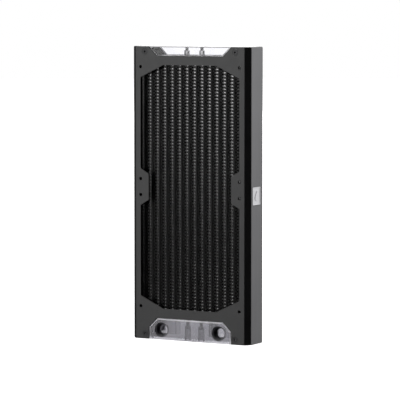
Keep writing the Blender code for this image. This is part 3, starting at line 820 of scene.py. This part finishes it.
def make_return_block():
    inset = PAD_GAP * math.tan(math.pi / 8)
    foot = HEIGHT - RETURN_WINDOW_DEPTH + PAD_GAP
    slope = RETURN_WINDOW_FOOT - inset
    pad = mirrored([(slope, foot), (slope + HEIGHT - foot, HEIGHT)])
    low = span("return_block")[0].z
    block = block_body(low, HEIGHT, pad, RETURN_BEVEL)

    chamber = flat_mesh([rounded(box_outline(-SEAL_X, SEAL_X, -SEAL_Y, SEAL_Y), 2)], 10,
                        low=RETURN_CEILING - 10)
    block = cut(block, marked(chamber))
    mouth = HEAD_R + GAP
    seat = BOSS_TOP + GAP
    drill = turned_mesh([(0, HEIGHT + 1), (mouth, HEIGHT + 1), (mouth, HEIGHT),
                         (SCREW_HOLE_R, HEIGHT + SCREW_HOLE_R - mouth), (SCREW_HOLE_R, seat),
                         (BOSS_R + GAP, seat), (BOSS_R + GAP, RETURN_CEILING - 1), (0, RETURN_CEILING - 1)])
    holes = copies(drill, [(side * x, 0, 0) for side in (-1, 1) for x in RETURN_CLAMP_X])
    block = cut(block, marked(holes))
    clear = acrylic("return_acrylic", 0.01, 0.12, ((0.2, 0.2, 0.7), 2.5))
    # The return bevel's lower paleness, 0.65, is partly painted shade.
    finishes = [clear, clear, milled_edge("return_bevel", 0.65, 0.3)]
    add_piece("return_block_milled", frost_from_index(block), finishes, ["return_block"],
              25, False)


# Screws

def socket_cut(mesh, top, turn=0.0):
    """Sink a six-sided socket into the top of a screw's head."""
    tool = turned_mesh([(0, top + 1), (SOCKET_R, top + 1), (SOCKET_R, top - SOCKET_DEPTH),
                        (0, top - SOCKET_DEPTH - 0.4)], 6)
    tool.transform(Matrix.Rotation(turn, 4, "Z"))
    return cut(mesh, tool)


def sunk_screw(length):
    """Countersunk screw along Z, its flat head at height 0."""
    cone = HEAD_R - SCREW_R
    head = turned_mesh([(0, 0), (HEAD_R - 0.12, 0), (HEAD_R, -0.1), (HEAD_R, -HEAD_RIM),
                        (SCREW_R - 0.1, -HEAD_RIM - cone - 0.1), (0, -HEAD_RIM - cone - 0.1)], 40)
    shank = threaded_mesh(SCREW_R - 0.25, SCREW_R, SCREW_PITCH, -length, -HEAD_RIM - cone, None, 24)
    return joined([socket_cut(head, 0), shank])


def cap_screw(length):
    """Cylinder head screw along Z: its seat is at height 0 and its head hangs below."""
    radius = HEAD_R - 0.15
    head = turned_mesh([(0, PORT_HEAD_LENGTH), (radius - 0.25, PORT_HEAD_LENGTH),
                        (radius, PORT_HEAD_LENGTH - 0.25), (radius, 0.1), (radius - 0.1, 0), (0, 0)], 40)
    head = socket_cut(head, PORT_HEAD_LENGTH)
    head.transform(Matrix.Rotation(math.pi, 4, "X"))
    shank = threaded_mesh(SCREW_R - 0.25, SCREW_R, SCREW_PITCH, -0.05, length, None, 24)
    return joined([head, shank])


def make_screws():
    black = black_oxide()
    short = sunk_screw(COVER_SCREW_LENGTH)
    for face, facing in (("front", -1), ("rear", 1)):
        for number, (x, z) in enumerate(cover_screw_spots(), 1):
            mesh = short.copy()
            turn = Matrix.Rotation(math.radians(-90 * facing), 4, "X")
            mesh.transform(Matrix.Translation((x, facing * FRONT, z)) @ turn)
            node = f"cover_screw_{face}_{number}"
            add_piece(node + "_oxide", mesh, black, [node])
    top = span("port_clamp_screw_1")[1].z
    groups = (("port", cap_screw(top - PORT_HEAD_Z), PORT_CLAMP_X, PORT_HEAD_Z),
              ("return", sunk_screw(9), RETURN_CLAMP_X, HEIGHT))
    for end, shape, places, height in groups:
        spots = [(side * x, 0, height) for x in places for side in (-1, 1)]
        for number, spot in enumerate(spots, 1):
            mesh = shape.copy()
            mesh.transform(Matrix.Translation(spot))
            node = f"{end}_clamp_screw_{number}"
            add_piece(node + "_oxide", mesh, black, [node])


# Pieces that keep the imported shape

def finish_kept(coat):
    finishes = {"port_header": tinned(), "port_gasket": rubber()}
    finishes["return_header"] = finishes["port_header"]
    finishes["return_gasket"] = finishes["port_gasket"]
    finishes["core_side_plate_left"] = finishes["core_side_plate_right"] = coat
    for name, made in finishes.items():
        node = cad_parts[name]
        for slot in node.material_slots:
            slot.material = made


# Stage

def glow(name, low, high, bottom, top):
    """Light whose strength goes from bottom, at the height low, to top at the height high."""
    made = bpy.data.materials.new(name)
    made.use_nodes = True
    nodes, links = made.node_tree.nodes, made.node_tree.links
    nodes.clear()
    place = nodes.new("ShaderNodeTexCoord")
    parts = nodes.new("ShaderNodeSeparateXYZ")
    fade = nodes.new("ShaderNodeMapRange")
    light = nodes.new("ShaderNodeEmission")
    output = nodes.new("ShaderNodeOutputMaterial")
    for socket, value in (("From Min", low), ("From Max", high), ("To Min", bottom), ("To Max", top)):
        fade.inputs[socket].default_value = value
    links.new(place.outputs["Object"], parts.inputs["Vector"])
    links.new(parts.outputs["Z"], fade.inputs["Value"])
    links.new(fade.outputs["Result"], light.inputs["Strength"])
    links.new(light.outputs["Emission"], output.inputs["Surface"])
    return made


def dome_mesh(radius, first, last, low, high, steps=24):
    """Part of a sphere seen from inside: azimuths are turned from -Y towards +X, all in degrees."""
    work = bmesh.new()
    rows = []
    for up in range(steps + 1):
        rise = math.radians(low + (high - low) * up / steps)
        row = []
        for across in range(2 * steps + 1):
            turn = math.radians(first + (last - first) * across / (2 * steps))
            row.append(work.verts.new((radius * math.cos(rise) * math.sin(turn),
                                       -radius * math.cos(rise) * math.cos(turn), radius * math.sin(rise))))
        rows.append(row)
    for under, over in zip(rows, rows[1:]):
        for index in range(2 * steps):
            work.faces.new((under[index], over[index], over[index + 1], under[index + 1]))
    mesh = bpy.data.meshes.new("dome")
    work.to_mesh(mesh)
    work.free()
    return mesh


def add_stage(name, mesh, made, **seen):
    mesh.materials.append(made)
    mesh.shade_smooth()
    piece = bpy.data.objects.new(name, mesh)
    bpy.context.scene.collection.objects.link(piece)
    for ray, value in seen.items():
        setattr(piece, "visible_" + ray, value)
    return piece


def make_stage():
    floor = bpy.data.meshes.new("floor")
    corners = [(x, y, 0) for x, y in box_outline(-FLOOR_HALF, FLOOR_HALF, -FLOOR_HALF, FLOOR_HALF)]
    floor.from_pydata(corners, [], [(0, 1, 2, 3)])
    pale = new_material("pale_floor", (0.9, 0.9, 0.9), 0.9)
    shader = pale.node_tree.nodes["Principled BSDF"]
    shader.inputs["Emission Color"].default_value = (1, 1, 1, 1)
    shader.inputs["Emission Strength"].default_value = 0.97
    add_stage("floor", floor, pale, glossy=False, diffuse=False, shadow=False)
    backdrop = dome_mesh(BACKDROP_RADIUS, -180, 180, -30, 90)
    add_stage("backdrop", backdrop, glow("backdrop_white", 3, 5, 1.0, 0.3),
              glossy=False, diffuse=False, shadow=False, volume_scatter=False)
    lights = (("rear", (118, 222, -30, 40), (-1.0, 0.6, 0.45, 1.6)),
              ("left", (262, 308, -20, 60), (-1, 3, 0.25, 0.5)),
              ("right", (96, 118, -20, 60), (-1, 3, 0.2, 0.4)),
              ("top", (-180, 180, 62, 90), (3, 5, 0.5, 0.6)),
              ("front", (-60, -4, -34, 45), (-0.9, 0.6, 0.5, 3.3)))
    for side, extent, strength in lights:
        add_stage(side + "_light", dome_mesh(LIGHT_RADIUS, *extent), glow(side + "_soft", *strength),
                  camera=False, transmission=False, shadow=False, volume_scatter=False)

    world = bpy.data.worlds.new("dim_room")
    world.use_nodes = True
    world.node_tree.nodes["Background"].inputs["Color"].default_value = (1, 1, 1, 1)
    world.node_tree.nodes["Background"].inputs["Strength"].default_value = ROOM_GLOW
    bpy.context.scene.world = world
    bpy.context.scene.view_settings.view_transform = "Standard"


def make_camera():
    camera = bpy.data.cameras.new("camera")
    camera.lens = 238.33
    camera.sensor_width = 36
    camera.clip_start = 0.1
    camera.clip_end = 60
    made = bpy.data.objects.new("camera", camera)
    made.location = (1.1978, -2.15757, 0.32073)
    made.rotation_euler = (math.radians(90 - 4.383), 0, math.radians(28.989))
    bpy.context.scene.collection.objects.link(made)
    bpy.context.scene.camera = made


make_covers()
make_rails()
fins = fin_coat()
make_tubes(tube_coat())
make_fins(fins)
make_port_block()
make_return_block()
make_screws()
finish_kept(fins)
make_stage()
make_camera()
